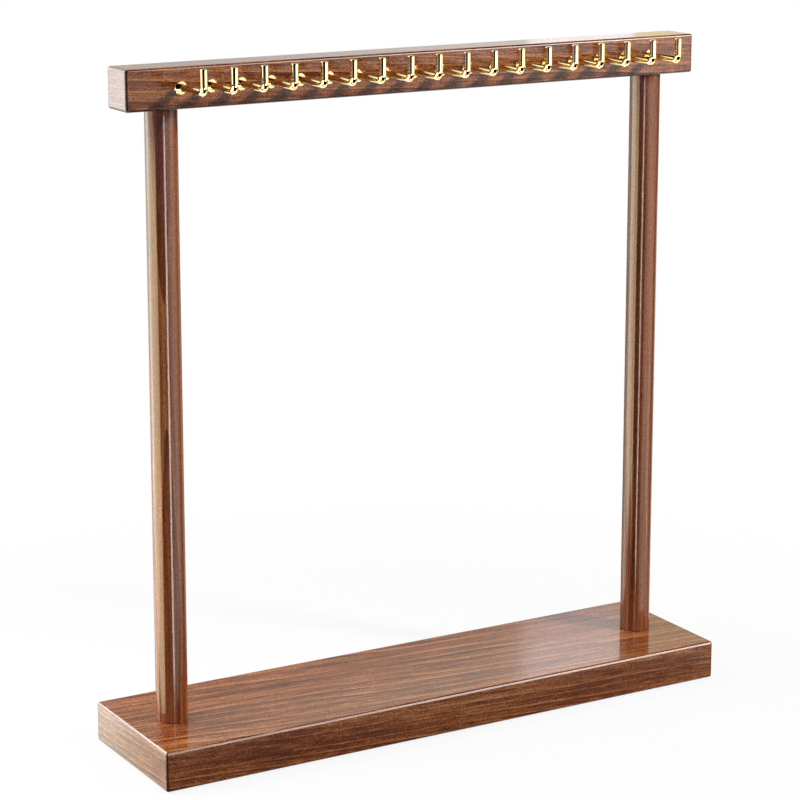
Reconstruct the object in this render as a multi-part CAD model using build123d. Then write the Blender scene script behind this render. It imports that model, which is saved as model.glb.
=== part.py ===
from build123d import *
import os

# Necklace stand: a base board, two round posts, a top bar and a row of square-bend screw hooks.
# Millimetres. +Z is up and the hooks face -Y. The origin is on the surface that the stand rests on,
# under the middle of the base board.

# Boards
STAND_LENGTH = 308.0  # the base board and the top bar are equally long, with flush ends
BASE_DEPTH = 78.0
BASE_THICKNESS = 19.3
BAR_DEPTH = 20.0
BAR_HEIGHT = 19.1
BOARD_EDGE_RADIUS = 1.25

# Posts
POST_DIAMETER = 15.0
POST_HEIGHT = 289.0  # the clear height between the base board and the top bar
POST_INSET = 21.4  # from the stand's end to a post's axis
POST_END_EASE = 0.4  # bevel round both ends

# Hooks: bent wire with a threaded shank behind and a pressed collar
HOOK_COUNT = 18
HOOK_END_MARGIN = 26.5  # from the bar's end to the axis of the outermost hook
HOOK_LINE_RAISE = 0.25  # the axes of the arms lie this far above the middle of the bar
WIRE_DIAMETER = 3.4
HOOK_REACH = 24.2  # from the bar's face to the axis of the upright
HOOK_RISE = 10.65  # from the axis of the arm to the tip of the upright
HOOK_BEND_RADIUS = 2.4  # of the wire's axis
HOOK_TIP_EASE = 0.3
HOOK_POINT_LENGTH = 1.6
HOOK_POINT_CLEARANCE = 0.8  # between the point of the shank and the side of a dowel screw
HOOK_THREAD_PITCH = 1.2
HOOK_THREAD_DEPTH = 0.35
COLLAR_DIAMETER = 6.2
COLLAR_THICKNESS = 1.0
COLLAR_EDGE_RADIUS = 0.3

# Dowel screws: a wood thread at both ends, blind in the post's head and in the bar's underside
DOWEL_SCREW_DIAMETER = 4.0
DOWEL_SCREW_IN_POST = 15.0
DOWEL_SCREW_POINT = 3.0
DOWEL_SCREW_PITCH = 1.8
DOWEL_SCREW_THREAD_DEPTH = 0.5
BAR_TOP_COVER = 5.1  # wood left over the point of a dowel screw

# Base screws: countersunk from below, into a threaded insert in the post's foot
BASE_SCREW_DIAMETER = 5.0
BASE_SCREW_HEAD_DIAMETER = 9.4
BASE_SCREW_HEAD_SINK = 0.4  # the head's face lies this far inside the base
BASE_SCREW_IN_POST = 10.5
BASE_SCREW_POINT = 1.2
BASE_SCREW_PITCH = 0.8
BASE_SCREW_THREAD_DEPTH = 0.4
BASE_SCREW_HOLE_CLEARANCE = 0.25  # round the shank in the base board
HEX_SOCKET_WIDTH = 3.0  # across flats
HEX_SOCKET_DEPTH = 1.9
INSERT_DIAMETER = 8.0
INSERT_LENGTH = 12.0
INSERT_THREAD_PITCH = 1.5
INSERT_THREAD_DEPTH = 0.5

# Foot pads
PAD_DIAMETER = 12.0
PAD_THICKNESS = 1.2
PAD_EDGE_RADIUS = 0.3
PAD_INSET = 13.0  # from the base board's sides to a pad's centre

# Fits
FIT = 0.05  # radial room round threads and pressed pieces
DRILL_ALLOWANCE = 1.0  # a blind hole is this much deeper than what goes in it

# Places that follow from the sizes above
BASE_BOTTOM = PAD_THICKNESS
BASE_TOP = BASE_BOTTOM + BASE_THICKNESS
BAR_BOTTOM = BASE_TOP + POST_HEIGHT
BAR_FRONT = -BAR_DEPTH / 2
ARM_Z = BAR_BOTTOM + BAR_HEIGHT / 2 + HOOK_LINE_RAISE
POST_X = STAND_LENGTH / 2 - POST_INSET
HOOK_PITCH = (STAND_LENGTH - 2 * HOOK_END_MARGIN) / (HOOK_COUNT - 1)
HOOK_XS = [HOOK_PITCH * (i - (HOOK_COUNT - 1) / 2) for i in range(HOOK_COUNT)]
HOOK_SHANK_LENGTH = BAR_DEPTH / 2 - DOWEL_SCREW_DIAMETER / 2 - HOOK_POINT_CLEARANCE
DOWEL_SCREW_IN_BAR = BAR_HEIGHT - BAR_TOP_COVER
SIDES = {"left": -1, "right": 1}
ENDS = {"front": -1, "back": 1}
RISING = (Align.CENTER, Align.CENTER, Align.MIN)


def rod(radius, length):
    """A plain rod on +Z, standing on z = 0."""
    return Cylinder(radius, length, align=RISING)


def spun(points):
    """The solid of revolution about Z of an outline given as (radius, height) points."""
    return revolve(make_face(Plane.XZ * Polyline(*points, close=True)), Axis.Z)


def threaded_rod(diameter, length, pitch, depth, point):
    """A rod on +Z from z = 0 with a pointed far end. Rings as deep as the thread stand for its turns."""
    crest = diameter / 2
    root = crest - depth
    turns = round((length - point) / pitch)
    step = (length - point) / turns
    outline = [(0, 0)]
    for turn in range(turns):
        outline += [(root, turn * step), (crest, (turn + 0.5) * step)]
    outline += [(root, turns * step), (0, length)]
    return spun(outline)


def eased_board(length, depth, height, bottom):
    """A board with every edge rounded, standing on the height given as its bottom."""
    board = Box(length, depth, height, align=RISING)
    return Pos(Z=bottom) * fillet(board.edges(), BOARD_EDGE_RADIUS)


def base_screw_head(extra=0.0):
    """The cone under a base screw's flat head, a right angle across, on z = 0."""
    head = BASE_SCREW_HEAD_DIAMETER / 2
    shank = BASE_SCREW_DIAMETER / 2
    return spun([(0, 0), (head, 0), (shank + extra, head - shank - extra), (0, head - shank - extra)])


def base_board():
    board = eased_board(STAND_LENGTH, BASE_DEPTH, BASE_THICKNESS, BASE_BOTTOM)
    hole = rod(BASE_SCREW_DIAMETER / 2 + BASE_SCREW_HOLE_CLEARANCE, BASE_THICKNESS)
    hole += rod(BASE_SCREW_HEAD_DIAMETER / 2, BASE_SCREW_HEAD_SINK)
    hole += Pos(Z=BASE_SCREW_HEAD_SINK) * base_screw_head(BASE_SCREW_HOLE_CLEARANCE)
    for side in SIDES.values():
        board -= Pos(side * POST_X, 0, BASE_BOTTOM) * hole
    return board


def post(side):
    """A round rod with an insert's hole in its foot and a dowel screw's hole in its head."""
    shaft = rod(POST_DIAMETER / 2, POST_HEIGHT)
    shaft = chamfer(shaft.edges(), POST_END_EASE)
    shaft -= rod(INSERT_DIAMETER / 2 + FIT, INSERT_LENGTH + DRILL_ALLOWANCE)
    screw_hole = rod(DOWEL_SCREW_DIAMETER / 2 + FIT, DOWEL_SCREW_IN_POST + DRILL_ALLOWANCE)
    shaft -= Pos(Z=POST_HEIGHT) * Rot(X=180) * screw_hole
    return Pos(side * POST_X, 0, BASE_TOP) * shaft


def top_bar():
    bar = eased_board(STAND_LENGTH, BAR_DEPTH, BAR_HEIGHT, BAR_BOTTOM)
    pilot_hole = Rot(X=-90) * rod(WIRE_DIAMETER / 2 + FIT, HOOK_SHANK_LENGTH + FIT)
    for x in HOOK_XS:
        bar -= Pos(x, BAR_FRONT, ARM_Z) * pilot_hole
    screw_hole = rod(DOWEL_SCREW_DIAMETER / 2 + FIT, DOWEL_SCREW_IN_BAR + DRILL_ALLOWANCE)
    for side in SIDES.values():
        bar -= Pos(side * POST_X, 0, BAR_BOTTOM) * screw_hole
    return bar


def hook(x):
    """A screw hook: a wire that leaves the bar square, turns up once and ends in an eased tip."""
    route = FilletPolyline(
        (0, 0, 0), (0, -HOOK_REACH, 0), (0, -HOOK_REACH, HOOK_RISE), radius=HOOK_BEND_RADIUS
    )
    wire = sweep(Plane((0, 0, 0), z_dir=(0, -1, 0)) * Circle(WIRE_DIAMETER / 2), route)
    wire = chamfer(wire.edges().sort_by(Axis.Z)[-1], HOOK_TIP_EASE)
    shank = threaded_rod(
        WIRE_DIAMETER, HOOK_SHANK_LENGTH, HOOK_THREAD_PITCH, HOOK_THREAD_DEPTH, HOOK_POINT_LENGTH
    )
    return Pos(x, BAR_FRONT, ARM_Z) * (wire + Rot(X=-90) * shank)


def hook_collar(x):
    """A round collar, pressed onto the wire and seated on the face of the bar."""
    disc = rod(COLLAR_DIAMETER / 2, COLLAR_THICKNESS)
    disc = fillet(disc.edges().sort_by(Axis.Z)[-1], COLLAR_EDGE_RADIUS)
    disc -= rod(WIRE_DIAMETER / 2 + FIT, COLLAR_THICKNESS)
    return Pos(x, BAR_FRONT, ARM_Z) * Rot(X=90) * disc


def dowel_screw(side):
    """A double-ended screw, half in the head of a post and half in the bar."""
    def half(length):
        return threaded_rod(
            DOWEL_SCREW_DIAMETER, length, DOWEL_SCREW_PITCH, DOWEL_SCREW_THREAD_DEPTH, DOWEL_SCREW_POINT
        )

    screw = half(DOWEL_SCREW_IN_BAR) + Rot(X=180) * half(DOWEL_SCREW_IN_POST)
    return Pos(side * POST_X, 0, BAR_BOTTOM) * screw


def post_insert(side):
    """A threaded bush, flush with the foot of a post."""
    bush = threaded_rod(INSERT_DIAMETER, INSERT_LENGTH, INSERT_THREAD_PITCH, INSERT_THREAD_DEPTH, 0)
    bush -= rod(BASE_SCREW_DIAMETER / 2 + FIT, INSERT_LENGTH)
    return Pos(side * POST_X, 0, BASE_TOP) * bush


def base_screw(side):
    """A countersunk screw with a hexagon socket, up through the base board into the post's insert."""
    head_height = (BASE_SCREW_HEAD_DIAMETER - BASE_SCREW_DIAMETER) / 2
    shank_length = BASE_THICKNESS - BASE_SCREW_HEAD_SINK
    screw = base_screw_head()
    screw += Pos(Z=head_height) * rod(BASE_SCREW_DIAMETER / 2, shank_length - head_height)
    thread = threaded_rod(
        BASE_SCREW_DIAMETER, BASE_SCREW_IN_POST, BASE_SCREW_PITCH, BASE_SCREW_THREAD_DEPTH, BASE_SCREW_POINT
    )
    screw += Pos(Z=shank_length) * thread
    socket = RegularPolygon(HEX_SOCKET_WIDTH / 2, 6, major_radius=False)
    screw -= extrude(socket, HEX_SOCKET_DEPTH)
    return Pos(side * POST_X, 0, BASE_BOTTOM + BASE_SCREW_HEAD_SINK) * screw


def foot_pad(side, end):
    pad = rod(PAD_DIAMETER / 2, PAD_THICKNESS)
    pad = fillet(pad.edges().sort_by(Axis.Z)[0], PAD_EDGE_RADIUS)
    return Pos(side * (STAND_LENGTH / 2 - PAD_INSET), end * (BASE_DEPTH / 2 - PAD_INSET), 0) * pad


def pieces():
    """Every piece of the stand by its name."""
    made = {"base_board": base_board(), "top_bar": top_bar()}
    for name, side in SIDES.items():
        made[f"post_{name}"] = post(side)
        made[f"dowel_screw_{name}"] = dowel_screw(side)
        made[f"post_insert_{name}"] = post_insert(side)
        made[f"base_screw_{name}"] = base_screw(side)
        for end_name, end in ENDS.items():
            made[f"foot_pad_{end_name}_{name}"] = foot_pad(side, end)
    for number, x in enumerate(HOOK_XS, start=1):
        made[f"hook_{number:02d}"] = hook(x)
        made[f"hook_collar_{number:02d}"] = hook_collar(x)
    return made


os.makedirs("parts", exist_ok=True)
for name, piece in pieces().items():
    piece.label = name
    export_step(piece, f"parts/{name}.step")
print(f"hook pitch {HOOK_PITCH:.2f} mm, shank {HOOK_SHANK_LENGTH:.2f} mm, bar top {BAR_BOTTOM + BAR_HEIGHT:.2f} mm")
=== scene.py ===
# %% [markdown]
# # A walnut necklace stand
#
# The stand is a lacquered walnut base, two round posts, a square top bar and a row of polished
# gold hooks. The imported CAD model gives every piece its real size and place, in metres. This file
# loads that model as a fixed frame, gives the wood and metal their finish, and models again, with
# finer meshes, the pieces whose round shapes show in mirror-like reflections.

# %% Load the frame
import math

import bmesh
import bpy
from mathutils import Matrix, Vector


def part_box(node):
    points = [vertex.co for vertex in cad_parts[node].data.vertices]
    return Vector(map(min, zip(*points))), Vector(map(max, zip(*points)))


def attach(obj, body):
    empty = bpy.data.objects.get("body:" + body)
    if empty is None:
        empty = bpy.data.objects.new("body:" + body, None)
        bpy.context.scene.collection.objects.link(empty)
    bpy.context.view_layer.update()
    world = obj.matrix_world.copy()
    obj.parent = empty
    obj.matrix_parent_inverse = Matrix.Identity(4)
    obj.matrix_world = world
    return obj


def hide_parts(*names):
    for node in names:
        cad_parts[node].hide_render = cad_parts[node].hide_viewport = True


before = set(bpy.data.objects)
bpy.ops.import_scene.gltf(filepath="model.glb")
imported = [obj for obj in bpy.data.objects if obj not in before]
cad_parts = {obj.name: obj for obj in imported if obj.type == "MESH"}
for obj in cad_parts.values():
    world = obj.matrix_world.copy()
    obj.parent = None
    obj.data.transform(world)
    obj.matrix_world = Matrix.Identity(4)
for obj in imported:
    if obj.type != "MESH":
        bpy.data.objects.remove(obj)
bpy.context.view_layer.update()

scene = bpy.context.scene
MM = 0.001

# %% [markdown]
# ## The camera
#
# A camera can be placed by hand until the picture looks right, but the stand is full of straight
# edges, so its view was solved from them instead: the numbers below put every edge of the model
# within about a pixel of the photograph. The view is a long lens above the bar's height. The lens
# is shifted down a little, because the posts stay almost parallel in the photograph.

# %% Camera
VIEW_AZIMUTH = math.radians(-30.257)
VIEW_ELEVATION = math.radians(11.995)
VIEW_DISTANCE = 1264.97 * MM
VIEW_TARGET = Vector((-8.51, 0.0, 201.26)) * MM
LENS_LENGTH = 118.72
SENSOR_WIDTH = 36.0
LENS_SHIFT_DOWN = 0.106

camera_data = bpy.data.cameras.new("view")
camera_data.lens = LENS_LENGTH
camera_data.sensor_width = SENSOR_WIDTH
camera_data.shift_y = -LENS_SHIFT_DOWN
camera = bpy.data.objects.new("view", camera_data)
scene.collection.objects.link(camera)
scene.camera = camera

level_share = math.cos(VIEW_ELEVATION)
towards_camera = Vector((
    math.sin(VIEW_AZIMUTH) * level_share,
    -math.cos(VIEW_AZIMUTH) * level_share,
    math.sin(VIEW_ELEVATION),
))
camera.location = VIEW_TARGET + towards_camera * VIEW_DISTANCE
camera.rotation_mode = "QUATERNION"
camera.rotation_quaternion = (-towards_camera).to_track_quat("-Z", "Y")
scene.view_settings.view_transform = "Standard"
print("camera at, mm", [round(v / MM) for v in camera.location])

# %% [markdown]
# ## Shader maths as Python
#
# A finish is a network of nodes. Wiring each node by hand hides the idea, so one small class wraps
# an output socket: adding or multiplying two of them makes the Math node, and `make` adds any
# other node, with its settings first and its inputs after.

# %% A socket that can be calculated with
class Signal:
    """One output of a node tree. With no output yet, it is only a place to make the first node."""

    def __init__(self, tree, output=None):
        self.tree = tree
        self.output = output

    def make(self, kind, settings, inputs, output=0):
        node = self.tree.nodes.new(kind)
        for name, value in settings.items():
            if name == "stops":
                self.set_stops(node.color_ramp.elements, value)
            else:
                setattr(node, name, value)
        for name, value in inputs.items():
            self.plug(node.inputs[name], value)
        return Signal(self.tree, node.outputs[output])

    def set_stops(self, elements, stops):
        while len(elements) < len(stops):
            elements.new(1.0)
        for element, (place, colour) in zip(elements, stops):
            element.position = place
            element.color = (*colour, 1.0)

    def plug(self, socket, value):
        if isinstance(value, Signal):
            self.tree.links.new(value.output, socket)
        else:
            socket.default_value = value

    def calculate(self, operation, first, second=0.0):
        return self.make("ShaderNodeMath", {"operation": operation}, {0: first, 1: second})

    def __add__(self, other):
        return self.calculate("ADD", self, other)

    def __radd__(self, other):
        return self.calculate("ADD", other, self)

    def __sub__(self, other):
        return self.calculate("SUBTRACT", self, other)

    def __rsub__(self, other):
        return self.calculate("SUBTRACT", other, self)

    def __mul__(self, other):
        return self.calculate("MULTIPLY", self, other)

    def __truediv__(self, other):
        return self.calculate("DIVIDE", self, other)

    def __gt__(self, other):
        return self.calculate("GREATER_THAN", self, other)

    def __abs__(self):
        return self.calculate("ABSOLUTE", self)

    def larger(self, other):
        return self.calculate("MAXIMUM", self, other)

    def step(self, low, high):
        """0 below low, 1 above high and a smooth rise between them."""
        return self.make(
            "ShaderNodeMapRange",
            {"interpolation_type": "SMOOTHSTEP"},
            {"Value": self, "From Min": low, "From Max": high},
        )

    def band(self, rise, fall):
        """1 between a rise and a fall, each a pair of limits, and 0 outside them."""
        return self.step(*rise) - self.step(*fall)

    def parts(self):
        node = self.make("ShaderNodeSeparateXYZ", {}, {0: self}).output.node
        return [Signal(self.tree, output) for output in node.outputs]

    def vector(self, x, y, z):
        return self.make("ShaderNodeCombineXYZ", {}, {0: x, 1: y, 2: z})

    def mix_colours(self, factor, first, second):
        inputs = {0: factor, 6: first, 7: second}
        return self.make("ShaderNodeMix", {"data_type": "RGBA"}, inputs, output=2)


def new_finish(name):
    """A material, its shader and a place to make nodes."""
    material = bpy.data.materials.new(name)
    material.use_nodes = True
    tree = material.node_tree
    return material, tree.nodes["Principled BSDF"], Signal(tree)


def object_place(start):
    """The shaded point in the object's own coordinates, in metres."""
    return start.make("ShaderNodeTexCoord", {}, {}, "Object")


def facing(start):
    """The three parts of the way the surface faces."""
    return start.make("ShaderNodeNewGeometry", {}, {}, "Normal").parts()


print("shader maths ready")

# %% [markdown]
# ## Which way the grain runs
#
# The figure of wood fills the whole piece, so it is worked out from a point's distance along the
# grain and the two distances across it. A board's layers lie at a slight slant, as they do in sawn
# timber. The boards' ends are faced with the same straight grain, running across the end, so a
# face that points along the board swaps its two level axes. On a post the grain simply runs up.

# %% Grain directions
MM_PER_METRE = 1000.0
END_FACE = 0.5
LEVEL_SLANT = 0.050
UPRIGHT_SLANT = 0.032


def board_axes(start):
    """Distance along the grain and the two across it, in millimetres, on a board along X."""
    x, y, z = object_place(start).parts()
    normal_x = facing(start)[0]
    on_end = normal_x * normal_x > END_FACE
    along = (x + (y - x) * on_end) * MM_PER_METRE
    across = (y + (x - y) * on_end) * MM_PER_METRE
    return along, across + along * LEVEL_SLANT, z * MM_PER_METRE + along * UPRIGHT_SLANT


def post_axes(start):
    """The same on a post that stands along Z."""
    x, y, z = object_place(start).parts()
    return z * MM_PER_METRE, x * MM_PER_METRE, y * MM_PER_METRE


print("grain slants, level and upright", LEVEL_SLANT, UPRIGHT_SLANT)

# %% [markdown]
# ## The boards' edges
#
# The upright corners and the lower edges are darkened in the colour, as painted shade. Along the
# upper edges the lacquer builds up and catches a thin bright line. Both are found from the way the
# rounded surface faces: each pair below gives the limits of a smooth rise or fall.

# %% Masks for the edges
UPRIGHT_CORNER = (0.06, 0.35)
LOWER_EDGE = ((0.10, 0.50), (0.93, 0.99))
LONG_UPPER_EDGE = ((0.05, 0.25), (0.90, 0.99))
END_UPPER_EDGE = ((0.60, 0.80), (0.95, 0.99))
TOWARDS_END = (0.10, 0.30)


# Painted shade: this mask darkens the colour of the upright corners and the lower edges.
def painted_corner_shade(start):
    """1 on the upright corners and the lower edges, 0 on the flat faces."""
    x, y, z = facing(start)
    down = 0.0 - z
    return abs(x * y).step(*UPRIGHT_CORNER).larger(down.band(*LOWER_EDGE))


def board_rims(start):
    """1 on the upper edges and 0 elsewhere. On the ends the rim is narrower."""
    x, _, z = facing(start)
    long_edge = z.band(*LONG_UPPER_EDGE)
    end_edge = z.band(*END_UPPER_EDGE)
    return long_edge + (end_edge - long_edge) * abs(x).step(*TOWARDS_END)


print("edge masks ready")

# %% [markdown]
# ## Walnut figure
#
# A photograph of wood would tile and could not follow a solid part, so the figure is built from
# noise that is stretched along the fibres: broad colour bands, growth lines a millimetre or two
# wide, fine fibres, tiny flecks and short dark pores. Each year's growth begins in a pale line and
# darkens towards its end. The years are counted across the board and down it, and wander a little.
# The table gives each noise its length and width in millimetres, its detail and an offset that
# keeps it apart from the others.

# %% Figure
FIGURE_NOISES = {
    "sway": (160.0, 60.0, 1.0, 3.1),
    "wander": (260.0, 20.0, 2.0, 31.7),
    "strength": (300.0, 6.0, 1.0, 17.3),
    "bands": (500.0, 5.0, 2.0, 0.0),
    "lines": (500.0, 1.0, 2.0, 7.7),
    "fibres": (160.0, 0.38, 2.0, 13.3),
    "flecks": (0.6, 0.38, 1.0, 27.1),
    "pores": (3.0, 0.26, 1.0, 21.9),
}
NOISE_ROUGHNESS = 0.55
NOISE_MIDDLE = 0.5
SWAY_ACROSS = 5.0
SWAY_DEPTH = 2.5
YEAR_WIDTH = 7.0
YEAR_DEPTH = 3.6
YEAR_WANDER = 2.4
WEAKEST_YEAR = 0.25
YEAR_STRENGTH = (0.35, 0.65)
PALE_LINE = (0.0, 0.36)
DARK_LINE = (0.55, 1.0)
PORE_LIMITS = (0.60, 0.74)
BAND_WEIGHT = 1.1
LINE_WEIGHT = 1.1
FIBRE_WEIGHT = 1.4
FLECK_WEIGHT = 2.1
PALE_LINE_WEIGHT = 0.54
DARK_LINE_WEIGHT = 0.26


def walnut_figure(start, axes, seed):
    """How pale the grain is, about 0, with the fibres and the pores on their own."""
    along, across, depth = axes(start)

    def noise(name):
        length, width, detail, offset = FIGURE_NOISES[name]
        place = start.vector(along / length + seed + offset, across / width, depth / width)
        return start.make(
            "ShaderNodeTexNoise",
            {"noise_dimensions": "3D"},
            {"Vector": place, "Scale": 1.0, "Detail": detail, "Roughness": NOISE_ROUGHNESS},
        )

    sway = noise("sway") - NOISE_MIDDLE
    across = across + sway * SWAY_ACROSS
    depth = depth + sway * SWAY_DEPTH

    wander = noise("wander") - NOISE_MIDDLE
    years = across / YEAR_WIDTH + depth / YEAR_DEPTH + wander * YEAR_WANDER
    season = years.calculate("FRACT", years)
    strong = WEAKEST_YEAR + noise("strength").step(*YEAR_STRENGTH) * (1.0 - WEAKEST_YEAR)
    pale_line = (1.0 - season.step(*PALE_LINE)) * strong
    dark_line = season.step(*DARK_LINE) * strong

    bands, lines, fibres, flecks = [
        noise(name) - NOISE_MIDDLE for name in ("bands", "lines", "fibres", "flecks")
    ]
    grain = bands * BAND_WEIGHT + lines * LINE_WEIGHT + fibres * FIBRE_WEIGHT + flecks * FLECK_WEIGHT
    grain = grain + pale_line * PALE_LINE_WEIGHT - dark_line * DARK_LINE_WEIGHT
    return grain, fibres, noise("pores").step(*PORE_LIMITS)


print(len(FIGURE_NOISES), "noises in the figure")

# %% [markdown]
# ## Walnut finish
#
# The figure picks a tone from dark heartwood to pale growth lines, and the pores are stained into
# it. On the boards the upright corners and lower edges are darkened towards the pore colour, which
# is painted shade. Over that lies a glossy clear lacquer, a trace duller and rougher where fibres
# and pores show through. The posts are calmer wood than the boards, so they take less contrast.

# %% Walnut
WALNUT_TONES = [
    (0.00, (0.075, 0.017, 0.006)),
    (0.28, (0.165, 0.043, 0.014)),
    (0.50, (0.270, 0.072, 0.021)),
    (0.72, (0.385, 0.118, 0.036)),
    (1.00, (0.560, 0.240, 0.088)),
]
MIDDLE_TONE = 0.45
PORE = (0.070, 0.017, 0.006, 1.0)
PORE_STAIN = 0.45
# How strongly shade is painted on the boards' corners and lower edges.
CORNER_PAINTED_SHADE = 0.85
LACQUER_IOR = 1.42
LACQUER_ROUGHNESS = 0.12
FIBRE_HAZE = 0.06
PORE_HAZE = 0.03
RIM_IOR = 3.0
RIM_ROUGHNESS = 0.08
GRAIN_RELIEF = 0.2 * MM
RELIEF_STRENGTH = 0.05


def walnut(name, axes, seed, contrast=1.0, corners=None, rims=None):
    material, shader, start = new_finish(name)
    grain, fibres, pores = walnut_figure(start, axes, seed)
    tone = MIDDLE_TONE + grain * contrast
    wood = start.make("ShaderNodeValToRGB", {"stops": WALNUT_TONES}, {0: tone})
    wood = start.mix_colours(pores * (PORE_STAIN * contrast), wood, PORE)
    if corners:
        # Painted shade: the corners and lower edges are mixed towards the dark pore colour.
        wood = start.mix_colours(corners(start) * CORNER_PAINTED_SHADE, wood, PORE)
    start.plug(shader.inputs["Base Color"], wood)

    haze = LACQUER_ROUGHNESS + fibres * FIBRE_HAZE + pores * PORE_HAZE
    start.plug(shader.inputs["Roughness"], haze)
    shader.inputs["IOR"].default_value = LACQUER_IOR
    if rims:
        start.plug(shader.inputs["Coat Weight"], rims(start))
        shader.inputs["Coat IOR"].default_value = RIM_IOR
        shader.inputs["Coat Roughness"].default_value = RIM_ROUGHNESS

    relief = {
        "Strength": RELIEF_STRENGTH,
        "Distance": GRAIN_RELIEF,
        "Height": fibres * 0.5 - pores * 0.5,
    }
    start.plug(shader.inputs["Normal"], start.make("ShaderNodeBump", {}, relief))
    return material


base_walnut = walnut("walnut_base", board_axes, 0.0, corners=painted_corner_shade, rims=board_rims)
bar_walnut = walnut("walnut_bar", board_axes, 41.0, corners=painted_corner_shade, rims=board_rims)
post_walnut = walnut("walnut_post", post_axes, 83.0, contrast=0.6)
print("walnut for base, bar and posts")

# %% [markdown]
# ## Metal
#
# The hooks are plated and polished: almost a mirror, with a little haze from polishing. The hidden
# screws are dull zinc and the inserts plain machined brass. A metal takes its colour from what it
# mirrors, so the finish only needs a slightly cloudy tint and gloss.

# %% Metal finishes
CLOUDS_PER_METRE = 300.0
CLOUD_DETAIL = 3.0
CLOUD_SHADE = 0.93
TINT_LIMITS = (0.35, 0.65)
HAZE_LIMITS = (0.3, 0.7)


def metal(name, colour, roughness, haze):
    material, shader, start = new_finish(name)
    cloud = start.make(
        "ShaderNodeTexNoise",
        {},
        {"Vector": object_place(start), "Scale": CLOUDS_PER_METRE, "Detail": CLOUD_DETAIL},
    )
    deep = tuple(c * CLOUD_SHADE for c in colour)
    tint = start.mix_colours(cloud.step(*TINT_LIMITS), (*deep, 1.0), (*colour, 1.0))
    start.plug(shader.inputs["Base Color"], tint)
    start.plug(shader.inputs["Roughness"], roughness + cloud.step(*HAZE_LIMITS) * haze)
    shader.inputs["Metallic"].default_value = 1.0
    return material


gold = metal("gold_plate", (0.98, 0.76, 0.37), roughness=0.035, haze=0.02)
brass = metal("insert_brass", (0.72, 0.50, 0.22), roughness=0.28, haze=0.12)
zinc = metal("zinc_steel", (0.60, 0.61, 0.62), roughness=0.32, haze=0.12)
print("gold, brass and zinc")

# %% [markdown]
# ## Felt
#
# The foot pads are dark pressed felt: fine fuzz with paler tips, and no gloss.

# %% Felt finish
FUZZ_PER_METRE = 2600.0
FUZZ_DETAIL = 4.0
FUZZ_TIPS = 1.7
FUZZ_LIMITS = (0.35, 0.7)
FUZZ_RELIEF = 0.3 * MM
FUZZ_STRENGTH = 0.6
FELT_ROUGHNESS = 0.95


def felt(name, colour):
    material, shader, start = new_finish(name)
    fuzz = start.make(
        "ShaderNodeTexNoise",
        {},
        {"Vector": object_place(start), "Scale": FUZZ_PER_METRE, "Detail": FUZZ_DETAIL},
    )
    pale = tuple(c * FUZZ_TIPS for c in colour)
    tint = start.mix_colours(fuzz.step(*FUZZ_LIMITS), (*colour, 1.0), (*pale, 1.0))
    start.plug(shader.inputs["Base Color"], tint)
    shader.inputs["Roughness"].default_value = FELT_ROUGHNESS
    relief = {"Strength": FUZZ_STRENGTH, "Distance": FUZZ_RELIEF, "Height": fuzz}
    start.plug(shader.inputs["Normal"], start.make("ShaderNodeBump", {}, relief))
    return material


pad_felt = felt("pad_felt", (0.030, 0.022, 0.018))
print("felt")

# %% [markdown]
# ## The two boards
#
# The base and the top bar are plain boards with rounded edges, and the CAD model already has them
# with all their holes. Their meshes stay, and only take the walnut.

# %% Boards
def finish_node(name, material):
    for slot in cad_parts[name].material_slots:
        slot.material = material


finish_node("base_board", base_walnut)
finish_node("top_bar", bar_walnut)
bar_low, bar_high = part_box("top_bar")
base_low, base_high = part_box("base_board")
for name, low, high in (("base", base_low, base_high), ("bar", bar_low, bar_high)):
    print(name, "from", round(low.z / MM, 2), "to", round(high.z / MM, 2), "mm")

# %% [markdown]
# ## Making and placing a piece
#
# Every new piece is shaped as a bmesh and handed over the same way: doubles merged, faces turned
# outwards, smooth shading broken only at real corners, and its place kept in the mesh while the
# object stays at the origin.

# %% Handing over a piece
MERGE_DISTANCE = 0.0005 * MM
CORNER_ANGLE = math.radians(32.0)


def add_object(name, bm):
    mesh = bpy.data.meshes.new(name)
    bm.to_mesh(mesh)
    bm.free()
    thing = bpy.data.objects.new(name, mesh)
    scene.collection.objects.link(thing)
    return thing


def add_piece(name, bm, node, material):
    bmesh.ops.remove_doubles(bm, verts=bm.verts, dist=MERGE_DISTANCE)
    bmesh.ops.recalc_face_normals(bm, faces=bm.faces)
    for face in bm.faces:
        face.smooth = True
    for edge in bm.edges:
        edge.smooth = edge.is_manifold and edge.calc_face_angle() < CORNER_ANGLE
    piece = add_object(name, bm)
    piece.data.materials.append(material)
    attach(piece, "root")
    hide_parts(node)
    return piece


def node_size(node):
    """The middle, size, low corner and high corner of a CAD node's box."""
    low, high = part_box(node)
    return (low + high) / 2, high - low, low, high


print("pieces merge within, mm", MERGE_DISTANCE / MM)

# %% [markdown]
# ## Turned shapes
#
# Nearly every piece here is round, so a few small steps make them all: draw a ring, pull it along
# into a tube, close its end, soften an edge. A softened edge stretches the shading of the faces
# beside it. A short sleeve there, a little longer than the softening, takes that up, so the long
# faces mirror straight bands.

# %% Helpers for turned shapes
ROUND_STEPS = 48
SLEEVE_SHARE = 1.1
EASED_STEPS = 3
ROUNDED_STEPS = 4


def up(distance):
    return Vector((0.0, 0.0, distance))


def ring(bm, radius, height, steps=ROUND_STEPS):
    """A circle of edges round Z."""
    verts = bmesh.ops.create_circle(
        bm, radius=radius, segments=steps, matrix=Matrix.Translation((0.0, 0.0, height))
    )["verts"]
    return list({edge for vert in verts for edge in vert.link_edges})


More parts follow.
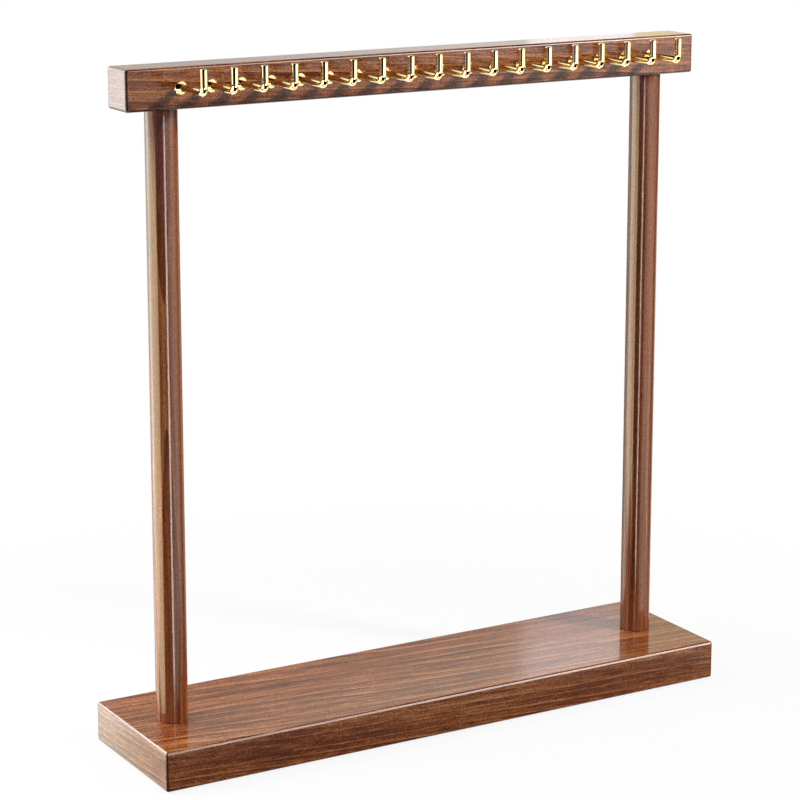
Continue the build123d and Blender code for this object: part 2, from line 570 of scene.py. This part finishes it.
def pulled(bm, edges, move, spread=1.0):
    """Extrudes a loop of edges, moves the new loop, scales it about the Z axis and returns it."""
    geometry = bmesh.ops.extrude_edge_only(bm, edges=edges)["geom"]
    verts = [v for v in geometry if isinstance(v, bmesh.types.BMVert)]
    bmesh.ops.translate(bm, verts=verts, vec=move)
    if spread != 1.0:
        bmesh.ops.scale(bm, verts=verts, vec=(spread, spread, 1.0))
    fresh = set(verts)
    return [e for e in geometry if isinstance(e, bmesh.types.BMEdge) and fresh.issuperset(e.verts)]


def closed(bm, edges):
    """Fills a flat loop of edges with one face."""
    bmesh.ops.edgeloop_fill(bm, edges=edges)


def softened(bm, edges, offset, steps):
    bmesh.ops.bevel(
        bm, geom=edges, offset=offset, segments=steps, profile=0.5, affect="EDGES", material=-1
    )


print("rings of", ROUND_STEPS, "sides")

# %% [markdown]
# ## Screw threads
#
# A thread is one V-shaped profile carried round the axis while it climbs. `spin` does exactly that
# when each of its steps also moves along the axis. A profile as tall as the pitch meets its own
# next turn, so merging doubles closes the skin, and two cuts across the axis trim it flat.

# %% Thread
THREAD_STEPS = 24
BLUNT_POINT = 0.12


def thread(bm, crest, root, pitch, low, high):
    """A thread's skin between two heights, in an empty bmesh. Returns its end loops, low and high."""
    steps = round((high - low) / pitch * THREAD_STEPS)
    rise = (high - low) / steps
    pitch = rise * THREAD_STEPS
    foot = low - pitch - rise / 2
    outline = [(root, foot), (crest, foot + pitch / 2), (root, foot + pitch)]
    verts = [bm.verts.new((radius, 0.0, height)) for radius, height in outline]
    edges = [bm.edges.new(pair) for pair in zip(verts, verts[1:])]
    steps += 2 * THREAD_STEPS + 2
    bmesh.ops.spin(
        bm, geom=verts + edges, cent=(0, 0, 0), axis=(0, 0, 1), dvec=up(rise),
        angle=2 * math.pi * steps / THREAD_STEPS, steps=steps,
    )
    bmesh.ops.remove_doubles(bm, verts=bm.verts, dist=MERGE_DISTANCE)
    for height, outwards in ((low, -1), (high, 1)):
        everything = bm.verts[:] + bm.edges[:] + bm.faces[:]
        bmesh.ops.bisect_plane(
            bm, geom=everything, plane_co=up(height), plane_no=(0, 0, outwards), clear_outer=True
        )
    return [
        [e for e in bm.edges if all(abs(v.co.z - height) < MERGE_DISTANCE for v in e.verts)]
        for height in (low, high)
    ]


def pointed(bm, loop, length):
    """Closes a thread's end with a blunt point of that length, upwards or downwards."""
    closed(bm, pulled(bm, loop, up(length), BLUNT_POINT))


print("threads of", THREAD_STEPS, "steps a turn")

# %% [markdown]
# ## Posts
#
# Each post is a round rod with eased ends. Its foot is bored for a threaded insert and its head for
# a dowel screw. A ring with many sides is pulled up in three lengths: the short ones at the ends
# are the sleeves for the eased rims, so the long one between them shades as a true cylinder. The
# bores are inset into the end faces and pushed in.

# %% Posts
POST_STEPS = 96
POST_END_EASE = 0.4 * MM
BORE_FIT = 0.05 * MM
DRILL_ALLOWANCE = 1.0 * MM


def bored(bm, face, radius, depth):
    """Insets a round end face to that radius and pushes the middle in."""
    outer = max((v.co.xy - face.calc_center_median().xy).length for v in face.verts)
    bmesh.ops.inset_region(bm, faces=[face], thickness=outer - radius, use_even_offset=True)
    inwards = -depth * face.normal
    pushed = bmesh.ops.extrude_face_region(bm, geom=[face])["geom"]
    bottom = [v for v in pushed if isinstance(v, bmesh.types.BMVert)]
    bmesh.ops.translate(bm, verts=bottom, vec=inwards)
    if face.is_valid:
        bm.faces.remove(face)


def make_post(side):
    middle, size, low, high = node_size(f"post_{side}")
    _, insert, _, insert_top = node_size(f"post_insert_{side}")
    _, screw, screw_foot, _ = node_size(f"dowel_screw_{side}")
    bm = bmesh.new()
    sleeve = SLEEVE_SHARE * POST_END_EASE
    foot = ring(bm, size.x / 2, -size.z / 2, POST_STEPS)
    loop = foot
    for length in (sleeve, size.z - 2 * sleeve, sleeve):
        loop = pulled(bm, loop, up(length))
    closed(bm, foot)
    closed(bm, loop)
    bmesh.ops.recalc_face_normals(bm, faces=bm.faces)
    softened(bm, foot + loop, POST_END_EASE, EASED_STEPS)
    ends = sorted((f for f in bm.faces if len(f.verts) == POST_STEPS), key=lambda f: f.normal.z)
    bored(bm, ends[0], insert.x / 2 + BORE_FIT, insert_top.z - low.z + DRILL_ALLOWANCE)
    bored(bm, ends[1], screw.x / 2 + BORE_FIT, high.z - screw_foot.z + DRILL_ALLOWANCE)
    bmesh.ops.translate(bm, verts=bm.verts, vec=middle)
    return add_piece(f"post_shaft_{side}", bm, f"post_{side}", post_walnut)


SIDES = ("left", "right")
for side in SIDES:
    post_piece = make_post(side)
    print(post_piece.name, len(post_piece.data.polygons), "faces")

# %% [markdown]
# ## Hooks
#
# A hook is one bent wire: a threaded shank in the bar, an arm straight out, one turn upwards and a
# short upright with an eased tip. A curve with a round bevel would also do, but pulling one ring
# along the wire keeps the rows of faces straight, so the gold mirrors clean bands. There are
# sleeves beside the bend and the tip. The hook is built with its shank along Z and then turned, so
# that the shank points into the bar and the upright stands up.

# %% Hooks
HOOK_BEND_RADIUS = 2.4 * MM
HOOK_TIP_EASE = 0.3 * MM
HOOK_TIP_SLEEVE = SLEEVE_SHARE * HOOK_TIP_EASE
HOOK_BEND_SLEEVE = 0.4 * MM
HOOK_NECK = 0.3 * MM
HOOK_POINT_LENGTH = 1.6 * MM
HOOK_THREAD_PITCH = 1.2 * MM
HOOK_THREAD_DEPTH = 0.35 * MM
BEND_STEPS = 14
FACING_FRONT = Matrix(((-1, 0, 0, 0), (0, 0, 1, 0), (0, 1, 0, 0), (0, 0, 0, 1)))


def make_hook(number):
    node = f"hook_{number:02d}"
    middle, size, low, high = node_size(node)
    wire = size.x / 2
    arm_end = bar_low.y - (low.y + wire)
    arm_height = low.z + wire
    shank = high.y - bar_low.y
    bm = bmesh.new()
    neck, point = thread(
        bm, wire, wire - HOOK_THREAD_DEPTH, HOOK_THREAD_PITCH, HOOK_NECK, shank - HOOK_POINT_LENGTH
    )
    pointed(bm, point, HOOK_POINT_LENGTH)
    root = ring(bm, wire, 0.0)
    bmesh.ops.bridge_loops(bm, edges=neck + root)
    loop = pulled(bm, root, up(HOOK_BEND_RADIUS - arm_end + HOOK_BEND_SLEEVE))
    loop = pulled(bm, loop, up(-HOOK_BEND_SLEEVE))
    loop_verts = list({v for e in loop for v in e.verts})
    bent = bmesh.ops.spin(
        bm, geom=loop_verts + loop, cent=(0.0, HOOK_BEND_RADIUS, HOOK_BEND_RADIUS - arm_end),
        axis=(1, 0, 0), angle=math.pi / 2, steps=BEND_STEPS,
    )["geom_last"]
    loop = [e for e in bent if isinstance(e, bmesh.types.BMEdge)]
    upright = high.z - arm_height - HOOK_BEND_RADIUS
    plain = upright - HOOK_BEND_SLEEVE - HOOK_TIP_SLEEVE
    for length in (HOOK_BEND_SLEEVE, plain, HOOK_TIP_SLEEVE):
        loop = pulled(bm, loop, (0.0, length, 0.0))
    closed(bm, loop)
    softened(bm, loop, HOOK_TIP_EASE, EASED_STEPS)
    place = Matrix.Translation((middle.x, bar_low.y, arm_height)) @ FACING_FRONT
    bmesh.ops.transform(bm, matrix=place, verts=bm.verts)
    return add_piece(f"hook_wire_{number:02d}", bm, node, gold)


HOOK_COUNT = sum(name.startswith("hook_collar_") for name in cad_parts)
for number in range(1, HOOK_COUNT + 1):
    hook_piece = make_hook(number)
print(HOOK_COUNT, "hooks of", len(hook_piece.data.polygons), "faces")

# %% [markdown]
# ## Collars
#
# A thin pressed disc hides each hole in the bar. It is a washer, and one ring makes all of it: out
# along the outer wall, in over the front, back through the bore and out again to where it began,
# where merging doubles closes it. The front edge is rounded over.

# %% Collars
COLLAR_EDGE_RADIUS = 0.3 * MM


def make_collar(number, bore):
    node = f"hook_collar_{number:02d}"
    middle, size, _, high = node_size(node)
    bm = bmesh.new()
    rim = size.x / 2
    flat = rim - SLEEVE_SHARE * COLLAR_EDGE_RADIUS
    front_rim = pulled(bm, ring(bm, rim, 0.0), up(-size.y))
    flat_edge = pulled(bm, front_rim, up(0.0), flat / rim)
    front_bore = pulled(bm, flat_edge, up(0.0), bore / flat)
    back_bore = pulled(bm, front_bore, up(size.y))
    pulled(bm, back_bore, up(0.0), rim / bore)
    softened(bm, front_rim, COLLAR_EDGE_RADIUS, ROUNDED_STEPS)
    place = Matrix.Translation((middle.x, high.y, middle.z)) @ FACING_FRONT
    bmesh.ops.transform(bm, matrix=place, verts=bm.verts)
    return add_piece(f"collar_disc_{number:02d}", bm, node, gold)


for number in range(1, HOOK_COUNT + 1):
    collar_piece = make_collar(number, node_size(f"hook_{number:02d}")[1].x / 2 + BORE_FIT)
print(HOOK_COUNT, "collars of", len(collar_piece.data.polygons), "faces")

# %% [markdown]
# ## Dowel screws
#
# Nothing shows how the posts are held, so the usual fixings stand here. Between each post and the
# bar that is a double-ended dowel screw: one thread, pointed at both ends.

# %% Dowel screws
DOWEL_PITCH = 1.8 * MM
DOWEL_THREAD_DEPTH = 0.5 * MM
DOWEL_POINT = 3.0 * MM


def make_dowel_screw(side):
    node = f"dowel_screw_{side}"
    middle, size, _, _ = node_size(node)
    crest = size.x / 2
    half = size.z / 2
    bm = bmesh.new()
    foot, head = thread(
        bm, crest, crest - DOWEL_THREAD_DEPTH, DOWEL_PITCH, DOWEL_POINT - half, half - DOWEL_POINT
    )
    pointed(bm, foot, -DOWEL_POINT)
    pointed(bm, head, DOWEL_POINT)
    bmesh.ops.translate(bm, verts=bm.verts, vec=middle)
    return add_piece(f"dowel_thread_{side}", bm, node, zinc)


for side in SIDES:
    print(make_dowel_screw(side).name)

# %% [markdown]
# ## Threaded inserts
#
# Wood holds a machine screw poorly, so a brass bush with a coarse outer thread sits in each post's
# foot. Its bore is left plain.

# %% Threaded inserts
INSERT_PITCH = 1.5 * MM
INSERT_THREAD_DEPTH = 0.5 * MM
BASE_SCREW_RADIUS = 2.5 * MM


def make_insert(side, bore):
    node = f"post_insert_{side}"
    middle, size, low, _ = node_size(node)
    crest = size.x / 2
    bm = bmesh.new()
    foot, head = thread(bm, crest, crest - INSERT_THREAD_DEPTH, INSERT_PITCH, 0.0, size.z)
    bore_foot = ring(bm, bore, 0.0)
    bore_head = pulled(bm, bore_foot, up(size.z))
    bmesh.ops.bridge_loops(bm, edges=foot + bore_foot)
    bmesh.ops.bridge_loops(bm, edges=head + bore_head)
    bmesh.ops.translate(bm, verts=bm.verts, vec=(middle.x, middle.y, low.z))
    return add_piece(f"insert_bush_{side}", bm, node, brass)


for side in SIDES:
    print(make_insert(side, BASE_SCREW_RADIUS + BORE_FIT).name)

# %% [markdown]
# ## Base screws
#
# A countersunk screw comes up through the base into each insert. Its head can be seen from below,
# so it gets a hexagon socket: a six-sided ring joined to the rim and pushed into the head.

# %% Base screws
BASE_SCREW_PITCH = 0.8 * MM
BASE_SCREW_THREAD_DEPTH = 0.4 * MM
BASE_SCREW_POINT = 1.2 * MM
HEX_SIDES = 6
HEX_SOCKET_WIDTH = 3.0 * MM
HEX_SOCKET_DEPTH = 1.9 * MM
THREAD_RUN_OUT = 0.3 * MM


def make_base_screw(side):
    node = f"base_screw_{side}"
    middle, size, low, _ = node_size(node)
    head = size.x / 2
    shank_end = base_high.z - low.z
    bm = bmesh.new()
    start, tip = thread(
        bm, BASE_SCREW_RADIUS, BASE_SCREW_RADIUS - BASE_SCREW_THREAD_DEPTH, BASE_SCREW_PITCH,
        shank_end + THREAD_RUN_OUT, size.z - BASE_SCREW_POINT,
    )
    pointed(bm, tip, BASE_SCREW_POINT)
    face_rim = ring(bm, head, 0.0)
    neck = pulled(bm, face_rim, up(head - BASE_SCREW_RADIUS), BASE_SCREW_RADIUS / head)
    shank = pulled(bm, neck, up(shank_end - head + BASE_SCREW_RADIUS))
    bmesh.ops.bridge_loops(bm, edges=shank + start)
    socket = ring(bm, HEX_SOCKET_WIDTH / math.sqrt(3.0), 0.0, HEX_SIDES)
    bmesh.ops.bridge_loops(bm, edges=face_rim + socket)
    closed(bm, pulled(bm, socket, up(HEX_SOCKET_DEPTH)))
    bmesh.ops.translate(bm, verts=bm.verts, vec=(middle.x, middle.y, low.z))
    return add_piece(f"base_screw_turned_{side}", bm, node, zinc)


for side in SIDES:
    print(make_base_screw(side).name)

# %% [markdown]
# ## Foot pads
#
# Four felt discs keep the base off the table. Their lower edge is worn round.

# %% Foot pads
PAD_EDGE_RADIUS = 0.3 * MM


def make_pad(end, side):
    node = f"foot_pad_{end}_{side}"
    middle, size, low, _ = node_size(node)
    bm = bmesh.new()
    lower = ring(bm, size.x / 2, 0.0)
    upper = pulled(bm, lower, up(size.z))
    closed(bm, lower)
    closed(bm, upper)
    softened(bm, lower, PAD_EDGE_RADIUS, ROUNDED_STEPS)
    bmesh.ops.translate(bm, verts=bm.verts, vec=(middle.x, middle.y, low.z))
    return add_piece(f"felt_pad_{end}_{side}", bm, node, pad_felt)


for end in ("front", "back"):
    for side in SIDES:
        print(make_pad(end, side).name)

# %% [markdown]
# ## The room
#
# The photograph has a plain white ground. The room around the stand is white where it is seen, in
# the picture or in a mirror, and dim as a light, so it doesn't wash out the shading.

# %% Room
AMBIENT = 0.11
WHITE = (1.0, 1.0, 1.0, 1.0)

world = bpy.data.worlds.new("studio")
scene.world = world
world.use_nodes = True
room = Signal(world.node_tree)
path = room.make("ShaderNodeLightPath", {}, {}).output.node
camera_ray, glossy_ray, through_ray = [
    Signal(room.tree, path.outputs[name])
    for name in ("Is Camera Ray", "Is Glossy Ray", "Is Transmission Ray")
]
seen = camera_ray.larger(glossy_ray).larger(through_ray)
dim = room.make("ShaderNodeBackground", {}, {"Color": WHITE, "Strength": AMBIENT})
bright = room.make("ShaderNodeBackground", {}, {"Color": WHITE, "Strength": 1.0})
around = room.make("ShaderNodeMixShader", {}, {0: seen, 1: dim, 2: bright})
room.plug(world.node_tree.nodes["World Output"].inputs["Surface"], around)
print("room lit at", AMBIENT)

# %% [markdown]
# ## The floor
#
# The floor is white paint that takes the stand's soft shadow. Away from the stand it fades into
# the white of the room, for the camera only. It is kept out of mirrors and of the light that the
# stand gathers from below, so the deep browns of the lower faces stay deep.

# %% Floor
FLOOR_HALF = 7.0
FLOOR_PAINT = (0.86, 0.86, 0.86, 1.0)
NEAR_GLOW = 0.88
FADE_START = 0.1
FADE_END = 0.4

floor_mesh = bmesh.new()
bmesh.ops.create_grid(floor_mesh, x_segments=1, y_segments=1, size=FLOOR_HALF)
floor = add_object("floor", floor_mesh)
floor_paint, floor_shader, start = new_finish("floor_paint")
floor_shader.inputs["Base Color"].default_value = FLOOR_PAINT
floor_shader.inputs["Roughness"].default_value = 1.0
floor_shader.inputs["Specular IOR Level"].default_value = 0.0
x, y, _ = object_place(start).parts()
far = (x * x + y * y).step(FADE_START ** 2, FADE_END ** 2)
glow = start.make("ShaderNodeEmission", {}, {"Color": WHITE, "Strength": 1.0})
lit = Signal(start.tree, floor_shader.outputs[0])
camera_only = start.make("ShaderNodeLightPath", {}, {}, "Is Camera Ray")
glowing = (NEAR_GLOW + far * (1.0 - NEAR_GLOW)) * camera_only
blend = start.make("ShaderNodeMixShader", {}, {0: glowing, 1: lit, 2: glow})
start.plug(start.tree.nodes["Material Output"].inputs["Surface"], blend)
floor.data.materials.append(floor_paint)
floor.visible_glossy = False
floor.visible_diffuse = False
print("floor of", 2 * FLOOR_HALF, "m")

# %% [markdown]
# ## Lamps
#
# Four lamps light the stand: a large soft one on the left, a small one low beside the base's left
# end, a soft one overhead, and a small strong one at the front right that draws the hooks' shadows
# on the bar. Mirrors don't see the lamps. What the lacquer and the gold mirror is built next, from
# cards, so light and reflections can be placed apart.

# %% Lamps
def lamp(name, place, aim, width, height, radiance):
    data = bpy.data.lights.new(name, "AREA")
    data.shape = "RECTANGLE"
    data.size = width
    data.size_y = height
    data.energy = radiance * math.pi * width * height
    light = bpy.data.objects.new(name, data)
    light.location = place
    light.rotation_mode = "QUATERNION"
    light.rotation_quaternion = (Vector(aim) - Vector(place)).to_track_quat("-Z", "Y")
    light.visible_camera = False
    light.visible_glossy = False
    scene.collection.objects.link(light)
    print(name, round(data.energy, 2), "W")


lamp("left_softbox", (-0.75, 0.45, 0.30), (0.0, 0.0, 0.12), 0.9, 0.7, 1.9)
lamp("left_low", (-0.33, 0.05, 0.14), (-0.15, 0.0, 0.01), 0.16, 0.10, 8.8)
lamp("top_softbox", (-0.35, 0.30, 1.10), (0.0, 0.0, 0.0), 0.9, 0.7, 2.4)
lamp("right_key", (0.85, -0.95, 0.95), (0.0, 0.0, 0.20), 0.14, 0.14, 318.0)

# %% [markdown]
# ## Reflection cards
#
# Lacquer and gold show the studio around them, so the studio is built from cards that only
# mirror-like surfaces see: white ones for pale bands, black ones for the dark bands between them.
# An upright card stands between two points of the floor plan, from one height to another, and its
# light may change from its first end to its second. A level card has one light all over.

# %% Helpers for cards
LEAF_TINT = (1.0, 1.10, 0.96)


def white(level):
    return (level, level, level)


def leafy(level):
    """A pale green, like daylight through leaves."""
    return tuple(level * tint for tint in LEAF_TINT)


def mirrored(name, spread, first, run, first_light, second_light):
    """A sheet that only mirrors see. Its light changes evenly along the run from the first point."""
    sheet = bmesh.new()
    bmesh.ops.create_grid(sheet, x_segments=1, y_segments=1, size=0.5, matrix=spread)
    thing = add_object(name, sheet)
    paint, shader, start = new_finish(name + "_paint")
    shader.inputs["Base Color"].default_value = (0.0, 0.0, 0.0, 1.0)
    shader.inputs["Specular IOR Level"].default_value = 0.0
    shader.inputs["Emission Strength"].default_value = 1.0
    x, y, _ = object_place(start).parts()
    share = ((x - first[0]) * run.x + (y - first[1]) * run.y) / run.length_squared
    light = start.mix_colours(share, (*first_light, 1.0), (*second_light, 1.0))
    start.plug(shader.inputs["Emission Color"], light)
    thing.data.materials.append(paint)
    thing.visible_camera = False
    thing.visible_diffuse = False
    thing.visible_transmission = False
    thing.visible_shadow = False


def card(name, first, second, bottom, top, first_light, second_light=None):
    """An upright sheet between two points of the floor plan, with the light of its two ends."""
    run = Vector(second) - Vector(first)
    middle = (Vector(first) + Vector(second)) / 2
    spread = Matrix((
        (run.x, 0.0, 0.0, middle.x),
        (run.y, 0.0, 0.0, middle.y),
        (0.0, top - bottom, 0.0, (top + bottom) / 2),
        (0.0, 0.0, 0.0, 1.0),
    ))
    mirrored(name, spread, first, run, first_light, second_light or first_light)


def level_card(name, place, length, depth, light):
    """A level sheet around a point, with one light all over."""
    spread = Matrix.Translation(place) @ Matrix.Diagonal((length, depth, 1.0, 1.0))
    mirrored(name, spread, (0.0, 0.0), Vector((1.0, 0.0)), light, light)


BLACK = white(0.0)
DUSK = (0.10, 0.18, 0.60)
print("card helpers ready")

# %% [markdown]
# ## Cards on the left
#
# The posts mirror the left wall in their cream bands, so the wall's low part is warm and bright.
# Its upper part is plain white, and black fills the gap towards the front.

# %% Left cards
card("card_left_low", (-0.75, -0.22), (-0.75, 0.85), -0.205, 0.20, (9.4, 7.8, 4.6), (8.6, 9.0, 7.7))
card("card_left_high", (-0.75, -0.06), (-0.75, 0.85), 0.20, 0.95, white(3.2))
card("card_left_foot", (-0.76, -0.27), (-0.76, 0.46), -0.90, -0.205, BLACK)
card("card_left_foot_back", (-0.755, 0.46), (-0.755, 0.85), -0.60, -0.205, (3.5, 3.4, 2.8))
card("card_left_gap", (-0.755, -0.27), (-0.755, -0.06), 0.20, 0.95, BLACK)
print("left cards ready")

# %% [markdown]
# ## Cards behind the left half
#
# The boards' left ends are seen at a low angle and mirror the back corner: the bar's end its bright
# upper part, the base's end the stepped cards that reach below the floor. The posts' left rims
# mirror the dimmer cards beside it.

# %% Back left cards
card("card_back_high", (-0.75, 0.85), (-0.42, 0.85), 0.28, 0.95, white(6.0))
card("card_back_corner", (-0.75, 0.86), (-0.50, 0.86), 0.10, 0.95, white(7.3), white(5.5))
card("card_back_corner_low", (-0.75, 0.86), (-0.50, 0.86), -0.19, 0.10, leafy(4.8), leafy(3.6))
card("card_back_left", (-0.50, 0.86), (0.20, 0.86), -0.60, 0.95, leafy(1.7), leafy(0.20))
card("card_back_step", (-0.655, 0.85), (-0.505, 0.85), -0.325, -0.19, white(5.5), white(4.5))
card("card_back_step_right", (-0.505, 0.85), (-0.30, 0.85), -0.26, -0.19, white(3.4), white(2.0))
card("card_back_ramp", (-0.58, 0.85), (-0.505, 0.85), -0.60, -0.325, BLACK, (3.4, 3.6, 2.9))
card("card_back_foot", (-0.505, 0.85), (-0.30, 0.85), -0.60, -0.26, (3.2, 3.4, 2.8), white(1.2))
print("back left cards ready")

# %% [markdown]
# ## Cards in front
#
# Dark cards at the front left give the posts and hooks their dark bands, and one narrow bright
# strip draws the thin line down each post. From there to the right the cards grow brighter, as the
# bar and the base do. One high card draws the line along the rounded front edges.

# %% Front cards
card("card_front_left_high", (-0.75, -0.27), (-0.21, -0.44), 0.262, 0.95, BLACK)
card("card_front_left_middle", (-0.75, -0.27), (-0.21, -0.44), 0.19, 0.262, DUSK)
card("card_front_left_low", (-0.75, -0.27), (-0.21, -0.44), -0.60, 0.19, (0.06, 0.06, 0.05))
card("card_strip", (-0.21, -0.42), (-0.13, -0.42), -0.11, 0.25, white(14.0))
card("card_front_gap_high", (-0.12, -0.45), (-0.12, -0.90), 0.185, 0.34, DUSK)
card("card_front_gap", (-0.12, -0.45), (0.0, -0.90), -0.60, 0.185, BLACK)
card("card_front_middle", (-0.12, -0.89), (0.20, -0.89), 0.185, 0.34, white(3.2))
card("card_front_bar", (0.20, -0.89), (0.72, -0.89), 0.185, 0.30, white(0.75), white(3.4))
card("card_front_right", (0.0, -0.89), (0.70, -0.89), -0.33, 0.185, (1.9, 1.75, 1.6), (3.2, 2.9, 2.6))
card("card_front_right_high", (0.72, -0.89), (1.10, -0.60), 0.10, 0.34, white(3.6), white(1.4))
card("card_front_right_low", (0.70, -0.89), (1.10, -0.60), -0.33, 0.10, (3.2, 2.9, 2.6), (2.2, 2.0, 1.8))
card("card_key", (0.12, -0.76), (0.95, -0.76), 0.49, 1.15, white(0.12), white(4.7))
card("card_front_low", (-1.2, -0.96), (1.4, -0.96), -3.00, 0.95, BLACK)
print("front cards ready")

# %% [markdown]
# ## Cards on the right
#
# The right wall is dim and warm, with a paler front part that the posts' right sides mirror.

# %% Right cards
card("card_right_front", (1.09, -0.60), (1.09, -0.15), 0.08, 0.34, white(1.0))
card("card_right_low_front", (1.09, -0.60), (1.09, -0.28), -0.60, 0.08, (2.0, 1.8, 1.5), (0.8, 0.7, 0.6))
card("card_right_low_back", (1.09, 0.12), (1.09, 0.85), -0.60, 0.08, (0.9, 0.8, 0.65))
card("card_right", (1.10, -0.60), (1.10, 0.85), -0.60, 0.95, (0.25, 0.22, 0.18))
print("right cards ready")

# %% [markdown]
# ## The backdrop
#
# The two tops mirror the backdrop behind the right half: the base its lower rows, the bar the top
# one. A row goes from its left light to its middle light, then comes a bright window and a warm
# end.

# %% Backdrop cards
BACKDROP_LEFT = (0.21, 0.84)
WINDOW_LEFT = (0.61, 0.84)
WINDOW_RIGHT = (0.72, 0.84)
BACKDROP_RIGHT = (1.10, 0.84)
BACKDROP_END = (1.2, 1.08, 0.75)
BACKDROP_ROWS = [
    (0.335, 0.360, leafy(0.40), leafy(0.65), white(1.6)),
    (0.360, 0.382, leafy(0.45), leafy(0.95), white(2.1)),
    (0.382, 0.415, leafy(0.80), leafy(1.40), white(2.9)),
    (0.415, 0.620, white(0.70), white(0.85), white(1.25)),
]
card("card_back_low", (0.21, 0.85), (1.10, 0.85), -0.60, 0.335, white(0.22))
for row, (bottom, top, left, middle, window) in enumerate(BACKDROP_ROWS):
    card(f"card_back_middle_{row}", BACKDROP_LEFT, WINDOW_LEFT, bottom, top, left, middle)
    card(f"card_back_window_{row}", WINDOW_LEFT, WINDOW_RIGHT, bottom, top, window)
    card(f"card_back_end_{row}", WINDOW_RIGHT, BACKDROP_RIGHT, bottom, top, BACKDROP_END)
print("backdrop of", len(BACKDROP_ROWS), "rows")

# %% [markdown]
# ## Level cards
#
# A black ceiling closes the studio, and a pale sheet far below closes it downwards. A narrow black
# one, in front of the hooks and a little below them, gives the gold its dark lower bands.

# %% Level cards
level_card("card_ceiling", (0.0, 0.0, 1.3), 6.0, 6.0, BLACK)
level_card("card_floor", (0.0, 0.0, -3.2), 16.0, 16.0, white(2.2))
level_card("card_under_hooks", (0.0, -0.070, 0.300), 0.34, 0.036, BLACK)
print("level cards ready")
